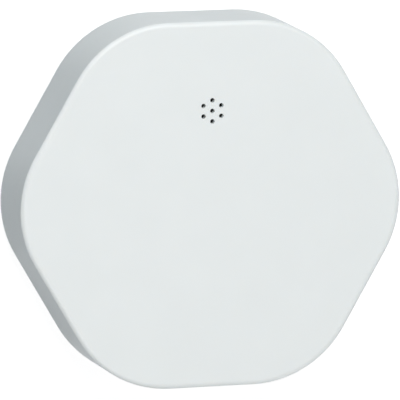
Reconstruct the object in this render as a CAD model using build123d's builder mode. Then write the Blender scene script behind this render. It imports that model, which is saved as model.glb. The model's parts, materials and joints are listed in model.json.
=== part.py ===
"""Water leak sensor: a hexagonal puck that stands on three metal probes.

The sound holes face up (+Z) and lie towards +Y, the rear of the puck. The origin
is on the floor below the middle of the puck. Lengths are in millimetres.
"""

import os
from math import atan2, cos, degrees, radians, sin

from build123d import *

os.makedirs("parts", exist_ok=True)

# Cell, an AAA, which sets the size of all that goes round it
cell_diameter = 10.5
cell_length = 44.5
cell_nub_radius = 1.9
cell_nub_length = 0.9
cell_sleeve = 0.15
cell_edge_break = 0.5
cell_washer_radius = 4.2
cell_washer_thickness = 0.25

# Outer form
side_room = 6.75
flat_width = cell_length + 2 * side_room
corner_radius = 17.2
hexagon_half_angle = 30
rim_height = 12.9
rim_draft_angle = 1.1
rim_wall = 2.0
top_wall = 1.8
top_bevel = 0.36
top_blend_share = 3.0
rim_edge_break = 0.2

# Heights, from the floor up to the top face
probe_stand = 0.8
door_thickness = 1.5
cell_door_gap = 0.3
cradle_gap = 0.2
cradle_wall = 0.8
board_gap = 0.3
board_thickness = 0.8
board_headroom = 1.3

base_z = probe_stand
cell_z = base_z + door_thickness + cell_door_gap + cell_diameter / 2
cradle_radius = cell_diameter / 2 + cradle_gap
cradle_top_z = cell_z + cradle_radius + cradle_wall
board_z = cradle_top_z + board_gap
board_top_z = board_z + board_thickness
ceiling_z = board_top_z + board_headroom
top_z = ceiling_z + top_wall
rim_z = top_z - rim_height

# Base
base_gap = 0.15
base_inset = rim_wall + base_gap
base_wall = 1.6
base_floor = 1.6
base_wall_height = 11.2
base_edge_break = 0.6
floor_z = base_z + base_floor

# Seal between base and rim
seal_height = 1.3
seal_depth = 0.9
seal_rise = 1.8
seal_squeeze_gap = 0.03
seal_side_gap = 0.1

# Sound holes, membrane and sounder
sound_share = 0.2554
sound_y = flat_width * sound_share
sound_hole_radius = 0.36
sound_ring_radius = 1.65
sound_ring_count = 6
sound_ring_start = 30
membrane_radius = 3.9
membrane_thickness = 0.25
membrane_recess = 0.8
membrane_side_gap = 0.1
sounder_radius = 6.8
sounder_wall = 0.8
sounder_depth = 6.0
sounder_top = 0.6
sounder_port_radius = 1.2
sounder_cavity = 2.6
sounder_ledge = 0.6
sounder_flange = 0.7
sounder_flange_thickness = 0.8
sounder_seal_thickness = 0.6
sounder_seal_edge = 0.6
sounder_seal_width = 1.9
piezo_thickness = 0.2
ceramic_margin = 0.9
ceramic_thickness = 0.25
back_plate = 0.8
back_gap = 0.05
collar_gap = 0.2
collar_wall = 0.8
collar_height = 0.9

# Battery bay, its contacts and its door
contact_thickness = 0.4
contact_side_room = 1.95
contact_top_room = 1.45
contact_bump_radius = 1.8
tail_width = 3.0
slot_gap = 0.2
spring_length = 2.6
spring_wire = 0.5
spring_wire_sides = 6
spring_turns = 2.0
spring_edge_gap = 0.1
spring_tip_radius = 1.9
touch_gap = 0.05
nub_room = 0.4
bay_length = cell_length + spring_length + 2 * contact_thickness + nub_room
bay_end_wall = 1.0
bay_corner_radius = 1.0
land_inner = 0.7
land_outer = 1.1
door_seal_width = 1.0
door_seal_depth = 0.7
door_corner_radius = 4.8
door_gap = 0.2
door_face_gap = 0.05
door_frame_wall = 1.2
door_ledge = 1.65
door_edge_break = 0.3
ear_radius = 4.0
ear_reach = 3.3
ear_height = 2.2
ear_neck_radius = 1.5
grip_count = 5
grip_pitch = 2.4
grip_length = 6.0
grip_width = 0.8
grip_depth = 0.4

# Door screws
door_screw_radius = 1.0
door_screw_end_gap = 0.6
door_screw_head_radius = 1.9
door_screw_head_height = 1.2
door_screw_sink = 0.15
door_screw_head_gap = 0.2
door_screw_fit = 0.05
ear_bore_gap = 0.15
driver_slot_width = 0.5
driver_slot_depth = 0.6
retainer_radius = 1.9
retainer_thickness = 0.4
ear_pad_wall = 1.4
ear_boss_radius = 2.6
ear_boss_cap = 0.6
ear_boss_room = 0.65

# Housing screws
rear_screw_angles = (59, 121)
rear_screw_gap = 0.3
front_screw_shares = ((-0.302, -0.215), (0.302, -0.215))
screw_radius = 1.25
screw_head_radius = 2.2
screw_head_height = 1.7
screw_head_sink = 0.8
screw_head_gap = 0.2
screw_bite = 4.5
screw_fit = 0.05
screw_end_gap = 0.8
pillar_radius = 3.0
pillar_top_share = 0.4
boss_rib_thickness = 0.9
boss_rib_reach = 2.0
boss_rib_height = 1.0

# Water probes
probe_shares = {"front": (0, -0.37), "left": (-0.302, 0.215), "right": (0.302, 0.215)}
probe_head_radius = 2.6
probe_head_thickness = 1.3
probe_edge_break = 0.3
probe_shank_radius = 1.2
probe_shank_length = 8.5
probe_gap = 0.1
probe_boss_radius = 3.6
probe_seal_thickness = 0.6
standoff_radius = 2.25
standoff_end_gap = 1.0

# Pairing button
button_angle = -121
button_wall_gap = 0.8
button_radius = 2.4
button_gap = 0.3
button_sink = 0.3
button_dish_depth = 0.25
button_flange = 0.8
button_flange_thickness = 0.6
button_travel = 0.4
button_rod_radius = 1.0
button_rod_gap = 0.1
button_ring_wall = 0.8
guide_flange_thickness = 1.2
guide_tube_wall = 0.9
guide_tube_rise = 3.0
switch_width = 4.6
switch_height = 1.8
switch_nub_radius = 0.9
switch_nub_gap = 0.1
switch_nub_length = 0.7
switch_nub_seat = 0.5

# Circuit board and what is soldered to it
board_edge_gap = 0.5
boss_hole_gap = 0.4
led_share = (0, -0.17)
led_length = 1.6
led_width = 0.8
led_height = 0.6
led_corner_break = 0.2
led_window_radius = 1.6
led_window_depth = 0.9
module_share = (0.145, -0.24)
module_length = 9.6
module_width = 12.0
module_thickness = 0.8
shield_margin = 0.7
shield_width_share = 0.66
shield_height = 2.0
shield_wall = 0.2
shield_corner_break = 0.4
antenna_length = 3.2
antenna_width = 1.6
antenna_height = 1.0
antenna_shift_share = 0.36
coil_share = (-0.15, -0.185)
coil_width = 5.0
coil_height = 2.8
coil_corner_break = 1.25
coil_core_radius = 1.9
coil_core_height = 0.4
chip_share = (0, -0.25)
chip_length = 4.0
chip_width = 3.6
chip_height = 1.3
chip_leg_count = 4
chip_leg_pitch = 0.9
chip_leg_width = 0.4
chip_leg_reach = 0.7
chip_leg_thickness = 0.3
capacitor_gap = 0.6
input_capacitor_share = -0.24
capacitor_length = 3.2
capacitor_width = 1.6
capacitor_height = 1.4
capacitor_edge_break = 0.2

overrun = 0.5

door_half_length = bay_length / 2 + land_inner + door_seal_width + land_outer
door_half_width = cradle_radius + land_inner + door_seal_width + land_outer
ear_y = door_half_width + ear_reach
ear_places = ((0, -ear_y), (0, ear_y))
ledge_z = base_z + door_thickness + door_face_gap
ear_top_z = base_z + ear_height
ear_pocket_z = ear_top_z + retainer_thickness + door_face_gap
ear_pad_z = ear_pocket_z + ear_pad_wall
door_screw_head_z = base_z + door_screw_sink + door_screw_head_height
pillar_top_z = floor_z + (ceiling_z - floor_z) * pillar_top_share
screw_seat_z = base_z + screw_head_sink + screw_head_height
probe_seat_z = probe_head_thickness + probe_seal_thickness
probe_boss_z = ear_pad_z
probe_tip_z = probe_head_thickness + probe_shank_length
seal_z = rim_z + seal_rise
case_top_z = ceiling_z - sounder_seal_thickness
case_low_z = case_top_z - sounder_depth
ear_boss_z = case_low_z - ear_boss_room
door_screw_tip_z = ear_boss_z - ear_boss_cap - door_screw_end_gap
piezo_z = case_top_z - sounder_top - sounder_cavity - piezo_thickness
contact_rise = cell_diameter / 2 - contact_top_room
contact_width = cell_diameter - 2 * contact_side_room
spring_base_radius = contact_width / 2 - spring_edge_gap
capacitor_reach = sounder_radius + sounder_flange + capacitor_gap
input_capacitor_y = -cradle_radius - cradle_wall - capacitor_gap - capacitor_width / 2
cell_high_x = bay_length / 2 - contact_thickness - spring_length
cell_low_x = cell_high_x - cell_length
corner_centre = (flat_width / 2 - corner_radius) / cos(radians(hexagon_half_angle))
corner_reach = corner_centre + corner_radius - base_inset - base_wall
button_ring_radius = button_radius + button_flange + button_gap
guide_z = floor_z + button_flange_thickness + 2 * button_travel


def place(share):
    """Return the place in plan that a pair of shares of the width across flats gives."""
    return (share[0] * flat_width, share[1] * flat_width)


def corner_place(angle, reach):
    """Return the place in plan at an angle, where a post of some reach meets a rounded corner's wall."""
    distance = corner_reach - reach
    return (distance * cos(radians(angle)), distance * sin(radians(angle)))


screw_places = [corner_place(angle, pillar_radius + rear_screw_gap) for angle in rear_screw_angles]
screw_places += [place(share) for share in front_screw_shares]
probe_places = {name: place(share) for name, share in probe_shares.items()}
capacitor_places = [
    (0, sound_y + capacitor_reach + capacitor_width / 2),
    (-capacitor_reach - capacitor_length / 2, sound_y),
    (capacitor_reach + capacitor_length / 2, sound_y),
    (flat_width * input_capacitor_share, input_capacitor_y),
]
button_place = corner_place(button_angle, button_ring_radius + button_ring_wall + button_wall_gap)


def draw_hexagon(inset):
    """Draw the puck's outline in the open sketch, moved in by inset from the outer wall."""
    outline = RegularPolygon(flat_width / 2 - inset, 6, major_radius=False)
    fillet(outline.vertices(), corner_radius - inset)


def draw_bay_ring(inner, outer, corner):
    """Draw a rounded frame round the bay's mouth, between two distances from its edge."""
    RectangleRounded(bay_length + 2 * outer, 2 * (cradle_radius + outer), corner + outer)
    RectangleRounded(
        bay_length + 2 * inner, 2 * (cradle_radius + inner), corner + inner, mode=Mode.SUBTRACT
    )


def post(radius, low, high, mode=Mode.ADD):
    """Add or cut a round post between two heights at each place in use."""
    with Locations((0, 0, low)):
        Cylinder(radius, high - low, align=(Align.CENTER, Align.CENTER, Align.MIN), mode=mode)


def block(length, width, low, high, mode=Mode.ADD):
    """Add or cut a rectangular block between two heights at each place in use."""
    with Locations((0, 0, low)):
        Box(length, width, high - low, align=(Align.CENTER, Align.CENTER, Align.MIN), mode=mode)


def save(piece, name):
    """Label a finished piece and write it to its own STEP file."""
    piece.part.label = name
    export_step(piece.part, f"parts/{name}.step")


# Top housing: a thick-walled hexagonal shell with drafted walls, open below
with BuildPart() as top_housing:
    with BuildSketch(Plane.XY.offset(rim_z)):
        draw_hexagon(0)
    extrude(amount=rim_height, taper=rim_draft_angle)
    chamfer(top_housing.edges().group_by(Axis.Z)[-1], top_bevel)
    fillet(top_housing.edges().group_by(Axis.Z)[-1], top_bevel * top_blend_share)
    chamfer(top_housing.edges().group_by(Axis.Z)[0], rim_edge_break)
    with BuildSketch(Plane.XY.offset(rim_z)):
        draw_hexagon(rim_wall)
    extrude(amount=rim_height - top_wall, mode=Mode.SUBTRACT)

    with Locations(*screw_places):
        post(pillar_radius, pillar_top_z, ceiling_z)
        block(2 * (pillar_radius + boss_rib_reach), boss_rib_thickness,
              board_top_z + boss_rib_height / 2, ceiling_z)
        block(boss_rib_thickness, 2 * (pillar_radius + boss_rib_reach),
              board_top_z + boss_rib_height / 2, ceiling_z)
        post(screw_radius + screw_fit, pillar_top_z, pillar_top_z + screw_bite + screw_end_gap,
             Mode.SUBTRACT)

    with Locations((0, sound_y)):
        post(sounder_radius + collar_gap + collar_wall, ceiling_z - collar_height, ceiling_z)
        post(sounder_radius + collar_gap, ceiling_z - collar_height, ceiling_z, Mode.SUBTRACT)
        post(membrane_radius + membrane_side_gap, ceiling_z, ceiling_z + membrane_recess, Mode.SUBTRACT)
        post(sound_hole_radius, ceiling_z, top_z + overrun, Mode.SUBTRACT)
        with PolarLocations(sound_ring_radius, sound_ring_count, start_angle=sound_ring_start):
            post(sound_hole_radius, ceiling_z, top_z + overrun, Mode.SUBTRACT)

    with Locations(place(led_share)):
        post(led_window_radius, ceiling_z, ceiling_z + led_window_depth, Mode.SUBTRACT)
save(top_housing, "top_housing")

# Door outline: a rounded plate with a screw ear on each long side
with BuildSketch() as door_outline:
    RectangleRounded(2 * door_half_length, 2 * door_half_width, door_corner_radius)
    Rectangle(2 * ear_radius, 2 * ear_y)
    neck_corners = door_outline.vertices().filter_by_position(
        Axis.X, -ear_radius - touch_gap, ear_radius + touch_gap
    ).filter_by_position(Axis.Y, -door_half_width - touch_gap, door_half_width + touch_gap)
    fillet(neck_corners, ear_neck_radius)
    with Locations(*ear_places):
        Circle(ear_radius)

with BuildSketch() as frame_outline:
    add(door_outline.sketch)
    offset(amount=door_gap + door_frame_wall)

# Base housing: a recessed tub with the cell's cradle, pillars and the door's seat
with BuildPart() as base_housing:
    with BuildSketch(Plane.XY.offset(base_z)):
        draw_hexagon(base_inset)
    extrude(amount=base_wall_height)
    chamfer(base_housing.edges().group_by(Axis.Z)[0], base_edge_break)
    with BuildSketch(Plane.XY.offset(floor_z)):
        draw_hexagon(base_inset + base_wall)
    extrude(amount=base_wall_height, mode=Mode.SUBTRACT)

    with BuildSketch(Plane.XY.offset(seal_z)):
        draw_hexagon(base_inset - overrun)
        offset(amount=-overrun - seal_depth, mode=Mode.SUBTRACT)
    extrude(amount=seal_height, mode=Mode.SUBTRACT)

    with BuildSketch(Plane.YZ.offset(-bay_length / 2 - bay_end_wall)):
        with Locations((0, cell_z)):
            Circle(cradle_radius + cradle_wall)
            Rectangle(2 * (cradle_radius + cradle_wall), cell_z - base_z,
                      align=(Align.CENTER, Align.MAX))
    extrude(amount=bay_length + 2 * bay_end_wall)

    with BuildSketch(Plane.XY.offset(base_z)):
        draw_hexagon(base_inset + base_wall / 2)
        add(frame_outline.sketch, mode=Mode.INTERSECT)
    extrude(amount=door_thickness + door_ledge)

    with Locations(*ear_places):
        post(ear_radius + door_gap + door_frame_wall, floor_z, ear_pad_z)
        post(ear_boss_radius, ear_pad_z, ear_boss_z)
    with Locations(*screw_places):
        post(pillar_radius, base_z + base_edge_break, pillar_top_z)
    with Locations(*probe_places.values()):
        post(probe_boss_radius, base_z + base_edge_break, probe_boss_z)
    with Locations(button_place):
        post(button_ring_radius + button_ring_wall, floor_z, guide_z)

    with BuildSketch(Plane.YZ.offset(-bay_length / 2)):
        with Locations((0, cell_z)):
            Circle(cradle_radius)
            Rectangle(2 * cradle_radius, cell_z - ledge_z - door_ledge + door_face_gap,
                      align=(Align.CENTER, Align.MAX))
    extrude(amount=bay_length, mode=Mode.SUBTRACT)
    with BuildSketch(Plane.XY.offset(base_z)):
        RectangleRounded(bay_length, 2 * cradle_radius, bay_corner_radius)
    extrude(amount=cell_z - base_z, mode=Mode.SUBTRACT)

    with BuildSketch(Plane.XY.offset(base_z)):
        add(door_outline.sketch)
        offset(amount=door_gap)
    extrude(amount=door_thickness + door_face_gap, mode=Mode.SUBTRACT)

    with Locations(*ear_places):
        post(ear_radius + door_gap, base_z, ear_pocket_z, Mode.SUBTRACT)
        post(door_screw_radius + door_screw_fit, ear_pocket_z,
             door_screw_tip_z + door_screw_end_gap, Mode.SUBTRACT)

    with Locations(*screw_places):
        post(screw_head_radius + screw_head_gap, base_z, screw_seat_z, Mode.SUBTRACT)
        post(screw_radius + screw_fit, screw_seat_z, pillar_top_z, Mode.SUBTRACT)

    with Locations(*probe_places.values()):
        post(probe_head_radius + probe_gap, base_z, probe_seat_z, Mode.SUBTRACT)
        post(probe_shank_radius + probe_gap, probe_seat_z, probe_boss_z, Mode.SUBTRACT)

    with Locations(button_place):
        post(button_radius + button_gap, base_z, floor_z, Mode.SUBTRACT)
        post(button_ring_radius, floor_z, guide_z, Mode.SUBTRACT)

    tail_x = bay_length / 2 - contact_thickness / 2
    with Locations((-tail_x, 0), (tail_x, 0)):
        block(contact_thickness + 2 * slot_gap, tail_width + 2 * slot_gap,
              cell_z + contact_rise, cradle_top_z + overrun, Mode.SUBTRACT)
save(base_housing, "base_housing")

# Housing seal: a square-section ring in the base's groove, against the rim
with BuildPart() as housing_seal:
    with BuildSketch(Plane.XY.offset(seal_z + seal_side_gap)):
        draw_hexagon(rim_wall + seal_squeeze_gap)
        offset(amount=-base_gap - seal_depth + 2 * seal_squeeze_gap, mode=Mode.SUBTRACT)
    extrude(amount=seal_height - 2 * seal_side_gap)
save(housing_seal, "housing_seal")

# Housing screws, from below
with BuildPart() as housing_screws:
    with Locations(*screw_places):
        post(screw_head_radius, base_z + screw_head_sink, screw_seat_z)
        post(screw_radius, screw_seat_z, pillar_top_z + screw_bite)
        block(2 * screw_head_radius, driver_slot_width, base_z + screw_head_sink,
              base_z + screw_head_sink + driver_slot_depth, Mode.SUBTRACT)
        block(driver_slot_width, 2 * screw_head_radius, base_z + screw_head_sink,
              base_z + screw_head_sink + driver_slot_depth, Mode.SUBTRACT)
save(housing_screws, "housing_screws")

# Battery door, with a groove for its seal and ears for its two screws
with BuildPart() as battery_door:
    with BuildSketch(Plane.XY.offset(base_z)):
        add(door_outline.sketch)
    extrude(amount=door_thickness)
    with Locations(*ear_places):
        post(ear_radius, base_z, ear_top_z)
    chamfer(battery_door.edges().group_by(Axis.Z)[0], door_edge_break)
    with BuildSketch(Plane.XY.offset(base_z + door_thickness)):
        draw_bay_ring(land_inner, land_inner + door_seal_width, bay_corner_radius)
    extrude(amount=-door_seal_depth, mode=Mode.SUBTRACT)
    with BuildSketch(Plane.XY.offset(base_z)):
        with Locations((door_half_length - grip_count * grip_pitch, 0)):
            with GridLocations(grip_pitch, 0, grip_count, 1):
                Rectangle(grip_width, grip_length)
    extrude(amount=grip_depth, mode=Mode.SUBTRACT)
    with Locations(*ear_places):
        post(door_screw_head_radius + door_screw_head_gap, base_z, door_screw_head_z, Mode.SUBTRACT)
        post(door_screw_radius + ear_bore_gap, door_screw_head_z, ear_top_z, Mode.SUBTRACT)
save(battery_door, "battery_door")

with BuildPart() as door_seal:
    with BuildSketch(Plane.XY.offset(base_z + door_thickness - door_seal_depth)):
        draw_bay_ring(land_inner + touch_gap, land_inner + door_seal_width - touch_gap, bay_corner_radius)
    extrude(amount=door_seal_depth + door_face_gap)
save(door_seal, "door_seal")

# Door screws and the retaining rings that keep them in the ears
for name, (ear_x, ear_place_y) in zip(("front", "rear"), ear_places):
    with BuildPart() as door_screw:
        with Locations((ear_x, ear_place_y)):
            post(door_screw_head_radius, base_z + door_screw_sink, door_screw_head_z)
            post(door_screw_radius, door_screw_head_z, door_screw_tip_z)
            block(2 * door_screw_head_radius, driver_slot_width, base_z + door_screw_sink,
                  base_z + door_screw_sink + driver_slot_depth, Mode.SUBTRACT)
            block(driver_slot_width, 2 * door_screw_head_radius, base_z + door_screw_sink,
                  base_z + door_screw_sink + driver_slot_depth, Mode.SUBTRACT)
    save(door_screw, f"{name}_door_screw")

    with BuildPart() as screw_retainer:
        with Locations((ear_x, ear_place_y)):
            post(retainer_radius, ear_top_z, ear_top_z + retainer_thickness)
            post(door_screw_radius + door_screw_fit, ear_top_z, ear_top_z + retainer_thickness,
                 Mode.SUBTRACT)
    save(screw_retainer, f"{name}_screw_retainer")

# Water probes, each with its seal and the standoff that carries the board
for name, (probe_x, probe_y) in probe_places.items():
    with BuildPart() as water_probe:
        with Locations((probe_x, probe_y)):
            post(probe_head_radius, 0, probe_head_thickness)
            post(probe_shank_radius, probe_head_thickness, probe_tip_z)
        chamfer(water_probe.edges().group_by(Axis.Z)[0], probe_edge_break)
    save(water_probe, f"{name}_probe")

    with BuildPart() as probe_seal:
        with Locations((probe_x, probe_y)):
            post(probe_head_radius, probe_head_thickness, probe_seat_z)
            post(probe_shank_radius, probe_head_thickness, probe_seat_z, Mode.SUBTRACT)
    save(probe_seal, f"{name}_probe_seal")

    with BuildPart() as standoff:
        with BuildSketch(Plane.XY.offset(probe_boss_z)):
            with Locations((probe_x, probe_y)):
                RegularPolygon(standoff_radius, 6)
        extrude(amount=board_z - probe_boss_z)
        with Locations((probe_x, probe_y)):
            post(probe_shank_radius + touch_gap, probe_boss_z, probe_tip_z + standoff_end_gap,
                 Mode.SUBTRACT)
    save(standoff, f"{name}_standoff")

# Circuit board, open for the sounder, the screw bosses and the contacts' tails
with BuildPart() as circuit_board:
    with BuildSketch(Plane.XY.offset(board_z)):
        draw_hexagon(rim_wall + board_edge_gap)
        with Locations((0, sound_y)):
            Circle(sounder_radius + collar_gap, mode=Mode.SUBTRACT)
        with Locations(*screw_places):
            Circle(pillar_radius + boss_hole_gap, mode=Mode.SUBTRACT)
        with Locations((-tail_x, 0), (tail_x, 0)):
            Rectangle(contact_thickness + 2 * slot_gap, tail_width + 2 * slot_gap, mode=Mode.SUBTRACT)
    extrude(amount=board_thickness)
save(circuit_board, "circuit_board")

# Acoustic membrane under the sound holes
with BuildPart() as sound_membrane:
    with Locations((0, sound_y)):
        post(membrane_radius, ceiling_z + membrane_recess - membrane_thickness,
             ceiling_z + membrane_recess)
save(sound_membrane, "sound_membrane")

# Sounder: seal, case, piezo plate with its ceramic, and back
with BuildPart() as sounder_seal:
    with Locations((0, sound_y)):
        post(sounder_radius - sounder_seal_edge, case_top_z, ceiling_z)
        post(sounder_radius - sounder_seal_edge - sounder_seal_width, case_top_z, ceiling_z,
             Mode.SUBTRACT)
save(sounder_seal, "sounder_seal")

with BuildPart() as sounder_case:
    with Locations((0, sound_y)):
        post(sounder_radius, case_low_z, case_top_z)
        post(sounder_radius + sounder_flange, board_z - sounder_flange_thickness, board_z)
        post(sounder_radius - sounder_wall, case_low_z, piezo_z + piezo_thickness, Mode.SUBTRACT)
        post(sounder_radius - sounder_wall - sounder_ledge, piezo_z + piezo_thickness,
             case_top_z - sounder_top, Mode.SUBTRACT)
        post(sounder_port_radius, case_top_z - sounder_top, case_top_z, Mode.SUBTRACT)
save(sounder_case, "sounder_case")

with BuildPart() as piezo_plate:
    with Locations((0, sound_y)):
        post(sounder_radius - sounder_wall - back_gap, piezo_z, piezo_z + piezo_thickness)
save(piezo_plate, "piezo_plate")

with BuildPart() as piezo_ceramic:
    with Locations((0, sound_y)):
        post(sounder_radius - sounder_wall - sounder_ledge - ceramic_margin,
             piezo_z - ceramic_thickness, piezo_z)
save(piezo_ceramic, "piezo_ceramic")

with BuildPart() as sounder_back:
    with Locations((0, sound_y)):
        post(sounder_radius - sounder_wall - back_gap, case_low_z, piezo_z)
        post(sounder_radius - sounder_wall - sounder_ledge, case_low_z + back_plate, piezo_z,
             Mode.SUBTRACT)
save(sounder_back, "sounder_back")

# Cell contacts: a plate with a bump for the nub, and a plate with a coned spring
def contact_plate(side):
    """Add a contact plate at one end of the bay, with its tail up through the board."""
    with Locations((side * tail_x, 0)):
        block(contact_thickness, contact_width, cell_z - contact_rise, cell_z + contact_rise)
        block(contact_thickness, tail_width, cell_z + contact_rise, board_top_z)


with BuildPart() as positive_contact:
    contact_plate(-1)
    bump_length = cell_low_x + bay_length / 2 - contact_thickness - touch_gap
    with BuildSketch(Plane.YZ.offset(contact_thickness - bay_length / 2)):
        with Locations((0, cell_z)):
            Circle(contact_bump_radius)
    extrude(amount=bump_length)
save(positive_contact, "positive_contact")

with BuildPart() as negative_contact:
    contact_plate(1)
save(negative_contact, "negative_contact")

wire_run = spring_length - spring_wire - touch_gap
spring_start_x = cell_high_x + touch_gap + spring_wire / 2
with BuildPart() as negative_spring:
    with BuildLine() as coil:
        Helix(wire_run / spring_turns, wire_run, spring_tip_radius,
              center=(spring_start_x, 0, cell_z), direction=(1, 0, 0),
              cone_angle=degrees(atan2(spring_base_radius - spring_tip_radius, wire_run)))
    with BuildSketch(Plane(coil.line @ 0, z_dir=coil.line % 0)):
        RegularPolygon(spring_wire / 2, spring_wire_sides)
    sweep()
save(negative_spring, "negative_spring")


def least_gap(line, turns, wire):
    """Return the least gap between one turn of a coil and the next, read on points."""
    steps = 36
    count = int(turns * steps)
    points = [line @ (step / count) for step in range(count + 1)]
    return min(
        (points[near] - points[far]).length - wire
        for near in range(count + 1)
        for far in range(near + steps // 2, count + 1)
    )


print(f"negative_spring: least gap between turns {least_gap(coil.line, spring_turns, spring_wire):.2f} mm")

# Pairing button: soft cap, rod, guide bush, switch and the switch's nub
button_low_z = base_z + button_sink
guide_top_z = guide_z + guide_flange_thickness + guide_tube_rise
guide_tube_radius = button_rod_radius + button_rod_gap + guide_tube_wall
switch_low_z = board_z - switch_height
nub_low_z = switch_low_z - switch_nub_length
with BuildPart() as pairing_button:
    with Locations(button_place):
        post(button_radius, button_low_z, floor_z)
        post(button_radius + button_flange, floor_z, floor_z + button_flange_thickness)
    chamfer(pairing_button.edges().group_by(Axis.Z)[0], button_dish_depth)
    with Locations(button_place):
        post(button_radius - 2 * button_dish_depth, button_low_z, button_low_z + button_dish_depth,
             Mode.SUBTRACT)
save(pairing_button, "pairing_button")

with BuildPart() as button_rod:
    with Locations(button_place):
        post(button_rod_radius, floor_z + button_flange_thickness, nub_low_z)
save(button_rod, "button_rod")

with BuildPart() as button_guide:
    with Locations(button_place):
        post(button_ring_radius + button_ring_wall, guide_z, guide_z + guide_flange_thickness)
        post(guide_tube_radius, guide_z, guide_top_z)
        post(button_rod_radius + button_rod_gap, guide_z, guide_top_z, Mode.SUBTRACT)
save(button_guide, "button_guide")

with BuildPart() as pairing_switch:
    with Locations(button_place):
        block(switch_width, switch_width, switch_low_z, board_z)
        post(switch_nub_radius + switch_nub_gap, switch_low_z,
             switch_low_z + switch_nub_seat + button_travel + touch_gap, Mode.SUBTRACT)
save(pairing_switch, "pairing_switch")

with BuildPart() as switch_plunger:
    with Locations(button_place):
        post(switch_nub_radius, nub_low_z, switch_low_z + switch_nub_seat)
save(switch_plunger, "switch_plunger")

# Cell: steel can with its nub, insulating washer and plastic sleeve
can_radius = cell_diameter / 2 - cell_sleeve
with BuildPart() as cell_can:
    with BuildSketch(Plane.YZ.offset(cell_low_x + cell_nub_length)):
        with Locations((0, cell_z)):
            Circle(can_radius)
    extrude(amount=cell_length - cell_nub_length)
    chamfer(cell_can.edges().filter_by(GeomType.CIRCLE), cell_edge_break)
    with BuildSketch(Plane.YZ.offset(cell_low_x)):
        with Locations((0, cell_z)):
            Circle(cell_nub_radius)
    extrude(amount=cell_nub_length)
save(cell_can, "cell_can")

with BuildPart() as cell_washer:
    with BuildSketch(Plane.YZ.offset(cell_low_x + cell_nub_length - cell_washer_thickness)):
        with Locations((0, cell_z)):
            Circle(cell_washer_radius)
            Circle(cell_nub_radius + touch_gap, mode=Mode.SUBTRACT)
    extrude(amount=cell_washer_thickness)
save(cell_washer, "cell_washer")

with BuildPart() as cell_sleeve_film:
    with BuildSketch(Plane.YZ.offset(cell_low_x + cell_nub_length + cell_edge_break)):
        with Locations((0, cell_z)):
            Circle(cell_diameter / 2)
            Circle(can_radius, mode=Mode.SUBTRACT)
    extrude(amount=cell_length - cell_nub_length - 2 * cell_edge_break)
save(cell_sleeve_film, "cell_sleeve")

# Status light under its thinned window
with BuildPart() as status_led:
    with Locations(place(led_share)):
        block(led_length, led_width, board_top_z, board_top_z + led_height)
    chamfer(status_led.edges().filter_by(Axis.Z), led_corner_break)
save(status_led, "status_led")

# Radio module under the board: carrier, shield can and antenna
module_place = place(module_share)
module_low_z = board_z - module_thickness
shield_width = module_width * shield_width_share
with BuildPart() as radio_module:
    with Locations(module_place):
        block(module_length, module_width, module_low_z, board_z)
save(radio_module, "radio_module")

with BuildPart() as radio_shield:
    with Locations((module_place[0], module_place[1] + (module_width - shield_width) / 2 - shield_margin)):
        block(module_length - 2 * shield_margin, shield_width, module_low_z - shield_height, module_low_z)
        chamfer(radio_shield.edges().filter_by(Axis.Z), shield_corner_break)
        block(module_length - 2 * (shield_margin + shield_wall), shield_width - 2 * shield_wall,
              module_low_z - shield_height + shield_wall, module_low_z, Mode.SUBTRACT)
save(radio_shield, "radio_shield")

with BuildPart() as radio_antenna:
    with Locations((module_place[0], module_place[1] - module_width * antenna_shift_share)):
        block(antenna_length, antenna_width, module_low_z - antenna_height, module_low_z)
save(radio_antenna, "radio_antenna")

# Sounder's drive: coil, chip and capacitors
with BuildPart() as boost_coil:
    with Locations(place(coil_share)):
        block(coil_width, coil_width, board_z - coil_height, board_z)
        chamfer(boost_coil.edges().filter_by(Axis.Z), coil_corner_break)
        post(coil_core_radius, board_z - coil_height - coil_core_height, board_z - coil_height)
save(boost_coil, "boost_coil")

with BuildPart() as driver_chip:
    with Locations(place(chip_share)):
        block(chip_length, chip_width, board_z - chip_height, board_z - chip_leg_thickness / 2)
        with GridLocations(chip_leg_pitch, 0, chip_leg_count, 1):
            block(chip_leg_width, chip_width + 2 * chip_leg_reach, board_z - chip_leg_thickness, board_z)
save(driver_chip, "driver_chip")

with BuildPart() as capacitors:
    with Locations(*capacitor_places):
        block(capacitor_length, capacitor_width, board_z - capacitor_height, board_z)
    chamfer(capacitors.edges().filter_by(Axis.Z), capacitor_edge_break)
save(capacitors, "capacitors")
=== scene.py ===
import json
from math import cos, radians, sin

import bpy
from mathutils import Matrix, Vector


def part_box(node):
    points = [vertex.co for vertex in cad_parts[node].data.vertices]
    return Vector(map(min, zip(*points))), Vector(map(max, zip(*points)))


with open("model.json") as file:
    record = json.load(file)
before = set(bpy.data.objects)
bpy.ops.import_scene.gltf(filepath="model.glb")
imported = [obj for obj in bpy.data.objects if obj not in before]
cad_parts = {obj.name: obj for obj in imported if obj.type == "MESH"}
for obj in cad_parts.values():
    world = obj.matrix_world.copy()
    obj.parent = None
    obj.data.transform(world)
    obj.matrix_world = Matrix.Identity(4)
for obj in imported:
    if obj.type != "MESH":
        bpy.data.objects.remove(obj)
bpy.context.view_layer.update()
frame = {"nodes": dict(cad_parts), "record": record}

# The scene round the sensor: a material for each slot, the floor, the lamps and the camera.
# Lengths are in metres and angles in degrees, except where a comment says otherwise.

MM = 0.001

# Puck, from the frame
puck_low, puck_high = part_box("top_housing")
flat_width = puck_high[1] - puck_low[1]
top_z = puck_high[2]

# Camera, set so that the outline and the sound holes fall where the photograph has them.
# Its shift and distance are in widths across the flats, and its sensor is in millimetres.
PICTURE_WIDTH = 400
FOCAL_PIXELS = 5000
SENSOR_WIDTH = 36
CAMERA_YAW = 15.64
CAMERA_PITCH = 9.02
CAMERA_ROLL = 0.01
CAMERA_SHIFT = (0.0334, -0.0142)
CAMERA_DISTANCE = 13.408

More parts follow.
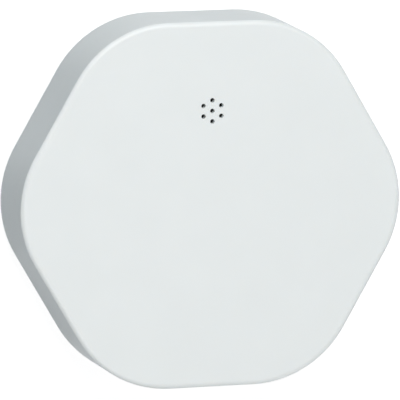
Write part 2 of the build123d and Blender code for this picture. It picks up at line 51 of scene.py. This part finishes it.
# Lamps: azimuth from +X, elevation, distance, width and power in watts
LAMPS = {
    "top_lamp": (0, 89, 1.2, 0.7, 1.2),
    "front_lamp": (245, 62, 1.2, 0.5, 3.2),
    "rear_lamp": (82, 55, 1.0, 0.25, 4.4),
    "corner_lamp": (109, 56, 1.0, 0.25, 3.4),
    "low_lamp": (300, 8, 1.0, 0.4, 2.3),
}

# Surroundings, as they light the puck
AMBIENT = 0.02
AMBIENT_COLOUR = (0.90, 0.97, 1.0)

# Floor, as it lights the puck and then as it is seen, where its glow brings it up to white
FLOOR_SIZE = 3.0
FLOOR_COLOUR = (0.29, 0.35, 0.38)
FLOOR_ROUGHNESS = 0.9
FLOOR_SEEN_COLOUR = (0.45, 0.45, 0.45)
FLOOR_SEEN_GLOW = 0.83

# The range that most of a noise's values keep to
NOISE_LOW = 0.3
NOISE_HIGH = 0.7

# What the moulded materials share
FLOW_SIZE = 9 * MM
GRAIN_DETAIL = 4.0
GRAIN_ROUGHNESS = 0.6
GRAIN_GLOSS = 0.05
GRAIN_BUMP = 0.5
SUBSURFACE_RADIUS = (1.0, 0.9, 0.8)
SUBSURFACE_DEPTH = 0.8 * MM

# What the metals share
CLOUD_SIZE = 3 * MM
CLOUD_DARK = 0.92
CLOUD_LIGHT = 1.06
MARK_DETAIL = 5.0
MARK_ROUGHNESS = 0.7
MARK_SMOOTHER = 0.08
MARK_ROUGHER = 0.1
MARK_BUMP = 0.6
MARK_RELIEF = 0.002 * MM

# What the circuit boards share
MASK_LIGHT = 1.25
TRACK_WIDTH = 0.06
TRACK_SOFTNESS = 0.1
TRACK_BUMP = 0.4
TRACK_RELIEF = 0.02 * MM
WEAVE_SIZE = 0.4 * MM
WEAVE_SMOOTH = 0.22
WEAVE_ROUGH = 0.36

MOULDED = {
    "white_housing": {
        "colour": (0.79, 0.825, 0.825), "roughness": 0.44, "grain": 0.22 * MM,
        "relief": 0.006 * MM, "mottle": 0.008, "subsurface": 0.25,
    },
    "white_base": {
        "colour": (0.76, 0.79, 0.79), "roughness": 0.52, "grain": 0.25 * MM,
        "relief": 0.008 * MM, "mottle": 0.012, "subsurface": 0.08,
    },
    "white_nylon": {
        "colour": (0.80, 0.80, 0.76), "roughness": 0.42, "grain": 0.3 * MM,
        "relief": 0.004 * MM, "subsurface": 0.2,
    },
    "black_plastic": {
        "colour": (0.028, 0.028, 0.03), "roughness": 0.45, "grain": 0.2 * MM,
        "relief": 0.006 * MM, "mottle": 0.1,
    },
    "chip_plastic": {
        "colour": (0.045, 0.045, 0.048), "roughness": 0.6, "grain": 0.15 * MM,
        "relief": 0.008 * MM, "mottle": 0.1,
    },
    "ferrite": {
        "colour": (0.065, 0.065, 0.07), "roughness": 0.7, "grain": 0.2 * MM,
        "relief": 0.01 * MM, "mottle": 0.15,
    },
    "capacitor_body": {
        "colour": (0.42, 0.33, 0.21), "roughness": 0.45, "grain": 0.3 * MM,
        "relief": 0.004 * MM, "mottle": 0.08,
    },
    "ceramic": {
        "colour": (0.76, 0.74, 0.68), "roughness": 0.35, "grain": 0.2 * MM,
        "relief": 0.003 * MM,
    },
    "seal_rubber": {
        "colour": (0.28, 0.29, 0.30), "roughness": 0.7, "grain": 0.4 * MM,
        "relief": 0.01 * MM, "mottle": 0.05, "specular": 0.35,
    },
    "button_rubber": {
        "colour": (0.40, 0.42, 0.43), "roughness": 0.62, "grain": 0.3 * MM,
        "relief": 0.01 * MM, "mottle": 0.04, "specular": 0.4,
    },
    "membrane_film": {
        "colour": (0.018, 0.018, 0.019), "roughness": 0.85, "grain": 0.08 * MM,
        "relief": 0.01 * MM, "mottle": 0.04, "specular": 0.2,
    },
    "led_lens": {
        "colour": (0.80, 0.76, 0.55), "roughness": 0.2, "grain": 0.5 * MM,
        "relief": 0.001 * MM, "mottle": 0.05, "subsurface": 0.3,
    },
    "cell_film": {
        "colour": (0.13, 0.30, 0.19), "roughness": 0.28, "grain": 1.2 * MM,
        "relief": 0.004 * MM, "mottle": 0.06,
    },
}
METALS = {
    "stainless_steel": {
        "colour": (0.62, 0.62, 0.61), "roughness": 0.26, "scratch": 0.12 * MM,
        "stretch": (1, 6, 1),
    },
    "nickel_steel": {
        "colour": (0.66, 0.64, 0.60), "roughness": 0.24, "scratch": 0.1 * MM,
        "stretch": (6, 6, 1),
    },
    "tinned_steel": {
        "colour": (0.70, 0.70, 0.69), "roughness": 0.33, "scratch": 0.15 * MM,
        "stretch": (8, 1, 1),
    },
    "cell_steel": {
        "colour": (0.64, 0.63, 0.61), "roughness": 0.25, "scratch": 0.12 * MM,
        "stretch": (8, 1, 1),
    },
    "brass": {
        "colour": (0.75, 0.58, 0.28), "roughness": 0.27, "scratch": 0.12 * MM,
        "stretch": (1, 1, 8),
    },
}
LAMINATES = {
    "board_laminate": {"mask": (0.02, 0.13, 0.06), "track": (0.05, 0.22, 0.10), "pitch": 3.0 * MM},
    "module_laminate": {"mask": (0.02, 0.05, 0.12), "track": (0.05, 0.09, 0.18), "pitch": 1.6 * MM},
}


def tree_of(material):
    """Return the nodes, the links and the main shader of a new node material."""
    material.use_nodes = True
    tree = material.node_tree
    return tree.nodes, tree.links, tree.nodes["Principled BSDF"]


def object_point(nodes):
    """Add the coordinates that stay with the piece as it moves."""
    return nodes.new("ShaderNodeTexCoord").outputs["Object"]


def noise(nodes, links, point, size, detail=3.0, roughness=0.55):
    """Add a noise whose features are about size across."""
    texture = nodes.new("ShaderNodeTexNoise")
    texture.inputs["Scale"].default_value = 1 / size
    texture.inputs["Detail"].default_value = detail
    texture.inputs["Roughness"].default_value = roughness
    links.new(point, texture.inputs["Vector"])
    return texture.outputs["Fac"]


def spread(nodes, links, value, low, high):
    """Map a noise, which stays near the middle, to the range from low to high."""
    remap = nodes.new("ShaderNodeMapRange")
    remap.inputs["From Min"].default_value = NOISE_LOW
    remap.inputs["From Max"].default_value = NOISE_HIGH
    remap.inputs["To Min"].default_value = low
    remap.inputs["To Max"].default_value = high
    links.new(value, remap.inputs["Value"])
    return remap.outputs["Result"]


def tint(nodes, links, factor, first, second):
    """Mix two colours by a factor."""
    mix = nodes.new("ShaderNodeMix")
    mix.data_type = "RGBA"
    mix.inputs["A"].default_value = (*first, 1)
    mix.inputs["B"].default_value = (*second, 1)
    links.new(factor, mix.inputs["Factor"])
    return mix.outputs["Result"]


def shade(colour, factor):
    """Return a colour made lighter or darker by a factor."""
    return tuple(min(channel * factor, 1.0) for channel in colour)


def emboss(nodes, links, shader, height, strength, relief):
    """Raise the surface by a texture, relief high."""
    bump = nodes.new("ShaderNodeBump")
    bump.inputs["Strength"].default_value = strength
    bump.inputs["Distance"].default_value = relief
    links.new(height, bump.inputs["Height"])
    links.new(bump.outputs["Normal"], shader.inputs["Normal"])


def moulded(name, colour, roughness, grain, relief, mottle=0.02, specular=0.5, subsurface=0.0):
    """Moulded plastic or rubber: fine spark texture, faint flow marks and uneven gloss."""
    material = bpy.data.materials.new(name)
    nodes, links, shader = tree_of(material)
    point = object_point(nodes)
    flow = spread(nodes, links, noise(nodes, links, point, FLOW_SIZE), 0, 1)
    colours = tint(nodes, links, flow, shade(colour, 1 - mottle), shade(colour, 1 + mottle))
    links.new(colours, shader.inputs["Base Color"])
    fine = noise(nodes, links, point, grain, detail=GRAIN_DETAIL, roughness=GRAIN_ROUGHNESS)
    gloss = spread(nodes, links, fine, roughness - GRAIN_GLOSS, roughness + GRAIN_GLOSS)
    links.new(gloss, shader.inputs["Roughness"])
    emboss(nodes, links, shader, fine, GRAIN_BUMP, relief)
    shader.inputs["Specular IOR Level"].default_value = specular
    if subsurface:
        shader.inputs["Subsurface Weight"].default_value = subsurface
        shader.inputs["Subsurface Radius"].default_value = SUBSURFACE_RADIUS
        shader.inputs["Subsurface Scale"].default_value = SUBSURFACE_DEPTH
    return material


def metal(name, colour, roughness, scratch, stretch):
    """Worked metal: fine marks drawn out along one way, over a slight change of tone."""
    material = bpy.data.materials.new(name)
    nodes, links, shader = tree_of(material)
    point = object_point(nodes)
    mapping = nodes.new("ShaderNodeMapping")
    mapping.inputs["Scale"].default_value = stretch
    links.new(point, mapping.inputs["Vector"])
    marks = noise(
        nodes, links, mapping.outputs["Vector"], scratch,
        detail=MARK_DETAIL, roughness=MARK_ROUGHNESS,
    )
    cloud = spread(nodes, links, noise(nodes, links, point, CLOUD_SIZE), 0, 1)
    colours = tint(nodes, links, cloud, shade(colour, CLOUD_DARK), shade(colour, CLOUD_LIGHT))
    links.new(colours, shader.inputs["Base Color"])
    gloss = spread(nodes, links, marks, roughness - MARK_SMOOTHER, roughness + MARK_ROUGHER)
    links.new(gloss, shader.inputs["Roughness"])
    emboss(nodes, links, shader, marks, MARK_BUMP, MARK_RELIEF)
    shader.inputs["Metallic"].default_value = 1.0
    return material


def laminate(name, mask, track, pitch):
    """Circuit board: solder mask with slightly raised tracks under it."""
    material = bpy.data.materials.new(name)
    nodes, links, shader = tree_of(material)
    point = object_point(nodes)
    bricks = nodes.new("ShaderNodeTexBrick")
    bricks.inputs["Scale"].default_value = 1 / pitch
    bricks.inputs["Color1"].default_value = (*mask, 1)
    bricks.inputs["Color2"].default_value = (*shade(mask, MASK_LIGHT), 1)
    bricks.inputs["Mortar"].default_value = (*track, 1)
    bricks.inputs["Mortar Size"].default_value = TRACK_WIDTH
    bricks.inputs["Mortar Smooth"].default_value = TRACK_SOFTNESS
    links.new(point, bricks.inputs["Vector"])
    links.new(bricks.outputs["Color"], shader.inputs["Base Color"])
    weave = noise(nodes, links, point, WEAVE_SIZE)
    gloss = spread(nodes, links, weave, WEAVE_SMOOTH, WEAVE_ROUGH)
    links.new(gloss, shader.inputs["Roughness"])
    emboss(nodes, links, shader, bricks.outputs["Fac"], TRACK_BUMP, TRACK_RELIEF)
    return material


def materials():
    """Return the material of each slot in the record."""
    made = {}
    for maker, looks in ((moulded, MOULDED), (metal, METALS), (laminate, LAMINATES)):
        for name, look in looks.items():
            made[name] = maker(name, **look)
    return made


def dress():
    """Give each CAD node the material of its slot."""
    made = materials()
    for entry in frame["record"]["subparts"]:
        node = frame["nodes"][entry["node"]]
        node.data.materials.clear()
        node.data.materials.append(made[entry["material_slot"]])


def looking_rays(nodes, links):
    """Return 1 for rays that show the background: from the camera, mirrored or passed through."""
    path = nodes.new("ShaderNodeLightPath")
    result = path.outputs["Is Camera Ray"]
    for kind in ("Is Glossy Ray", "Is Transmission Ray"):
        larger = nodes.new("ShaderNodeMath")
        larger.operation = "MAXIMUM"
        links.new(result, larger.inputs[0])
        links.new(path.outputs[kind], larger.inputs[1])
        result = larger.outputs["Value"]
    return result


def build_floor():
    """Pale floor that is seen as white and that keeps the puck's shadow."""
    half = FLOOR_SIZE / 2
    corners = [(-half, -half, 0), (half, -half, 0), (half, half, 0), (-half, half, 0)]
    mesh = bpy.data.meshes.new("floor")
    mesh.from_pydata(corners, [], [(0, 1, 2, 3)])
    floor = bpy.data.objects.new("floor", mesh)
    bpy.context.scene.collection.objects.link(floor)
    material = bpy.data.materials.new("floor")
    nodes, links, shader = tree_of(material)
    shader.inputs["Base Color"].default_value = (*FLOOR_COLOUR, 1)
    shader.inputs["Roughness"].default_value = FLOOR_ROUGHNESS
    seen = nodes.new("ShaderNodeBsdfDiffuse")
    seen.inputs["Color"].default_value = (*FLOOR_SEEN_COLOUR, 1)
    glow = nodes.new("ShaderNodeEmission")
    glow.inputs["Strength"].default_value = FLOOR_SEEN_GLOW
    both = nodes.new("ShaderNodeAddShader")
    links.new(seen.outputs["BSDF"], both.inputs[0])
    links.new(glow.outputs["Emission"], both.inputs[1])
    choice = nodes.new("ShaderNodeMixShader")
    links.new(looking_rays(nodes, links), choice.inputs["Fac"])
    links.new(shader.outputs["BSDF"], choice.inputs[1])
    links.new(both.outputs["Shader"], choice.inputs[2])
    links.new(choice.outputs["Shader"], nodes["Material Output"].inputs["Surface"])
    mesh.materials.append(material)


def build_world():
    """Dim even light from all round, and white where the surroundings are seen."""
    world = bpy.data.worlds.new("surroundings")
    bpy.context.scene.world = world
    world.use_nodes = True
    nodes, links = world.node_tree.nodes, world.node_tree.links
    background = nodes["Background"]
    background.inputs["Color"].default_value = (*AMBIENT_COLOUR, 1)
    background.inputs["Strength"].default_value = AMBIENT
    seen = nodes.new("ShaderNodeBackground")
    seen.inputs["Color"].default_value = (1, 1, 1, 1)
    choice = nodes.new("ShaderNodeMixShader")
    links.new(looking_rays(nodes, links), choice.inputs["Fac"])
    links.new(background.outputs["Background"], choice.inputs[1])
    links.new(seen.outputs["Background"], choice.inputs[2])
    links.new(choice.outputs["Shader"], nodes["World Output"].inputs["Surface"])


def build_lamps():
    """Soft boxes, each aimed at the middle of the puck."""
    middle = Vector((0, 0, top_z / 2))
    for name, (azimuth, elevation, distance, width, power) in LAMPS.items():
        turn, lift = radians(azimuth), radians(elevation)
        way = Vector((cos(turn) * cos(lift), sin(turn) * cos(lift), sin(lift)))
        data = bpy.data.lights.new(name, "AREA")
        data.size = width
        data.energy = power
        lamp = bpy.data.objects.new(name, data)
        lamp.location = middle + distance * way
        lamp.rotation_euler = way.to_track_quat("Z", "Y").to_euler()
        bpy.context.scene.collection.objects.link(lamp)


def build_camera():
    """Camera at the photograph's angle, placed from the middle of the puck's face."""
    yaw = Matrix.Rotation(radians(CAMERA_YAW), 3, "Y")
    pitch = Matrix.Rotation(radians(CAMERA_PITCH), 3, "X")
    roll = Matrix.Rotation(radians(CAMERA_ROLL), 3, "Z")
    turn = (roll @ pitch @ yaw).transposed()
    eye = turn @ Vector((-CAMERA_SHIFT[0], -CAMERA_SHIFT[1], CAMERA_DISTANCE)) * flat_width
    data = bpy.data.cameras.new("camera")
    data.sensor_width = SENSOR_WIDTH
    data.lens = FOCAL_PIXELS * SENSOR_WIDTH / PICTURE_WIDTH
    camera = bpy.data.objects.new("camera", data)
    camera.matrix_world = Matrix.Translation(eye + Vector((0, 0, top_z))) @ turn.to_4x4()
    bpy.context.scene.collection.objects.link(camera)
    bpy.context.scene.camera = camera


dress()
build_floor()
build_world()
build_lamps()
build_camera()
bpy.context.scene.view_settings.view_transform = "Standard"
